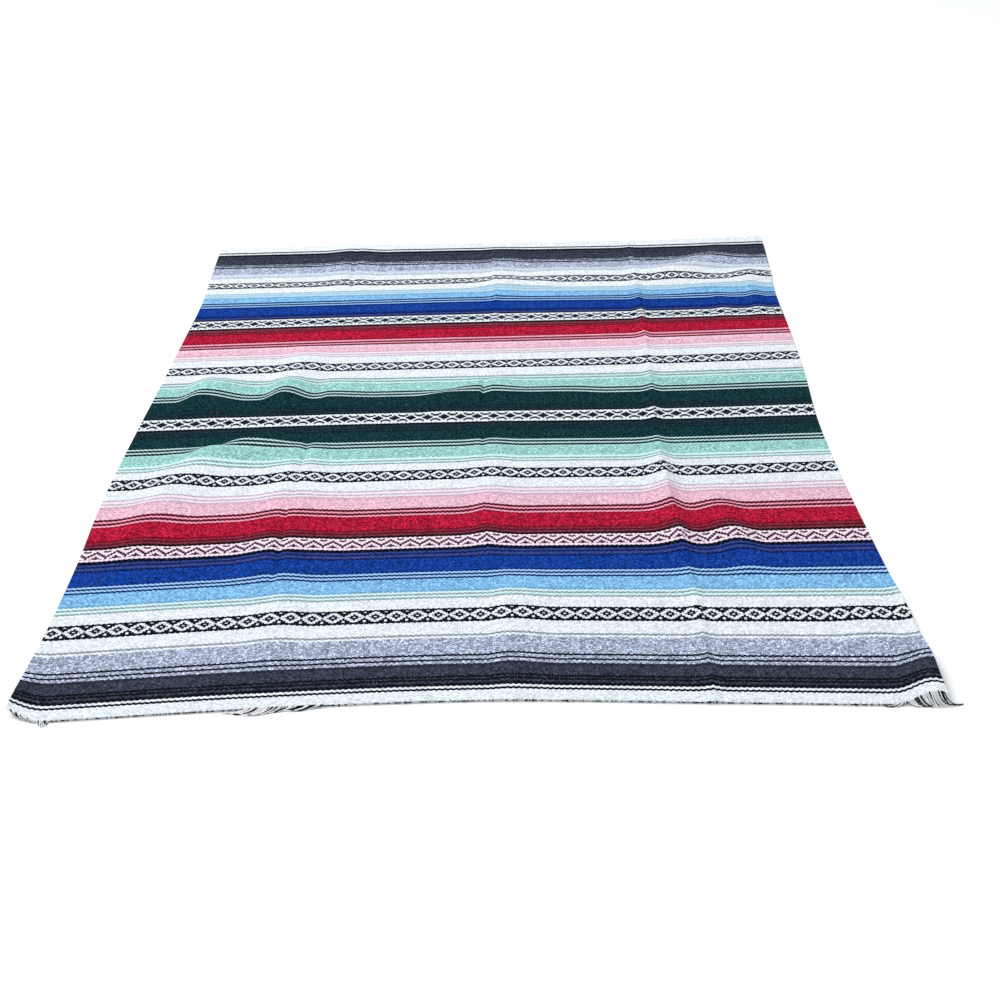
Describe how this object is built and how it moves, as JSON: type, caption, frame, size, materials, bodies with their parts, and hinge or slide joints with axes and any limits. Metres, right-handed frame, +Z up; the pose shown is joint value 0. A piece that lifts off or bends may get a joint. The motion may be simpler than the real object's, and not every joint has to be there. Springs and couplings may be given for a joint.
{
  "type": "serape blanket laid flat",
  "caption": "Woven serape blanket lying flat, with stripes and diamond bands across it and its fringe folded under both hems.",
  "frame": {"origin": "centre of the blanket on the surface that it lies on", "axes": "+Y along the warp, towards the far hem; +X across the cloth, towards the selvedge that bows in; +Z up"},
  "size_m": [1.2751, 1.9572, 0.0198],
  "materials": {
    "striped_weave": "matt weft-faced plain weave in many colours, with charted diamond bands",
    "warp_yarn": "loose white and black warp ends"
  },
  "bodies": {
    "root": {"cloth_panel": "striped_weave", "fringe_near": "warp_yarn", "fringe_far": "warp_yarn"}
  },
  "joints": []
}
